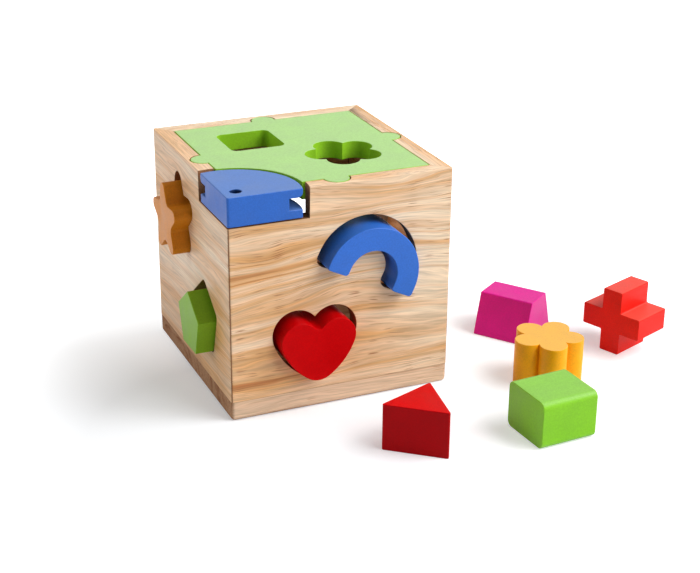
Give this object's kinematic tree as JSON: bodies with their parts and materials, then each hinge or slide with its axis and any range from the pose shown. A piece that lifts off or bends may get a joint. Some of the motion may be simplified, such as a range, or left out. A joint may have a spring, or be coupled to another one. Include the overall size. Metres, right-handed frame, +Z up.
{
  "type": "wooden shape sorter",
  "caption": "Toddler's wooden shape sorter: a pine box with shaped holes, a painted lift-out lid held by a turning corner latch, and painted blocks that fit the holes.",
  "frame": {"origin": "centre of the box's bottom face, which rests on the floor", "axes": "+Z up, -Y out of the front wall with the arch and heart holes, +X to that wall's right"},
  "size_m": [0.3012, 0.2404, 0.139],
  "materials": {
    "pine": "clear satin varnish over planed pine",
    "base_pine": "clear satin varnish over planed pine",
    "dowel_wood": "raw birch",
    "zinc_steel": "zinc plated, satin",
    "blue_paint": "satin painted wood",
    "lid_green_paint": "satin stained wood, grain faintly showing",
    "crimson_paint": "satin painted wood",
    "orange_paint": "satin painted wood",
    "green_paint": "satin painted wood",
    "magenta_paint": "satin painted wood",
    "red_paint": "satin painted wood",
    "yellow_paint": "satin painted wood",
    "coral_paint": "satin painted wood"
  },
  "bodies": {
    "box": {"base_board": "base_pine", "front_wall": "pine", "right_wall": "pine", "back_wall": "pine", "left_wall": "pine", "base_dowels": "dowel_wood", "corner_block": "pine", "pivot_washer": "zinc_steel", "pivot_screw": "zinc_steel"},
    "lid": {"lid": "lid_green_paint"},
    "latch": {"latch": "blue_paint"},
    "arch": {"arch_block": "blue_paint"},
    "heart": {"heart_block": "crimson_paint"},
    "star": {"star_block": "orange_paint"},
    "pentagon": {"pentagon_block": "green_paint"},
    "square": {"square_block": "magenta_paint"},
    "triangle": {"triangle_block": "red_paint"},
    "rectangle": {"rectangle_block": "green_paint"},
    "flower": {"flower_block": "yellow_paint"},
    "trapezoid": {"trapezoid_block": "magenta_paint"},
    "cross": {"cross_block": "coral_paint"}
  },
  "joints": [
    {"name": "lid_lift", "type": "slide", "parent": "box", "child": "lid", "axis": [0, 0, 1], "range_m": [0, 0.08]},
    {"name": "latch_turn", "type": "hinge", "parent": "box", "child": "latch", "pos_m": [-0.0615, -0.0604, 0.1212], "axis": [0, 0, 1], "continuous": true},
    {"name": "arch_slide", "type": "slide", "parent": "box", "child": "arch", "axis": [0, -1, 0], "range_m": [-0.0085, 0.025]},
    {"name": "heart_slide", "type": "slide", "parent": "box", "child": "heart", "axis": [0, -1, 0], "range_m": [-0.007, 0.025]},
    {"name": "star_slide", "type": "slide", "parent": "box", "child": "star", "axis": [-1, 0, 0], "range_m": [-0.0105, 0.025]},
    {"name": "pentagon_slide", "type": "slide", "parent": "box", "child": "pentagon", "axis": [-1, 0, 0], "range_m": [-0.0105, 0.025]},
    {"name": "square_lift", "type": "slide", "parent": "box", "child": "square", "axis": [0, 0, 1], "range_m": [0, 0.135]},
    {"name": "triangle_lift", "type": "slide", "parent": "box", "child": "triangle", "axis": [0, 0, 1], "range_m": [0, 0.1]},
    {"name": "rectangle_lift", "type": "slide", "parent": "box", "child": "rectangle", "axis": [0, 0, 1], "range_m": [0, 0.1]},
    {"name": "flower_lift", "type": "slide", "parent": "box", "child": "flower", "axis": [0, 0, 1], "range_m": [0, 0.1]},
    {"name": "trapezoid_lift", "type": "slide", "parent": "box", "child": "trapezoid", "axis": [0, 0, 1], "range_m": [0, 0.1]},
    {"name": "cross_lift", "type": "slide", "parent": "box", "child": "cross", "axis": [0, 0, 1], "range_m": [0, 0.1]}
  ]
}
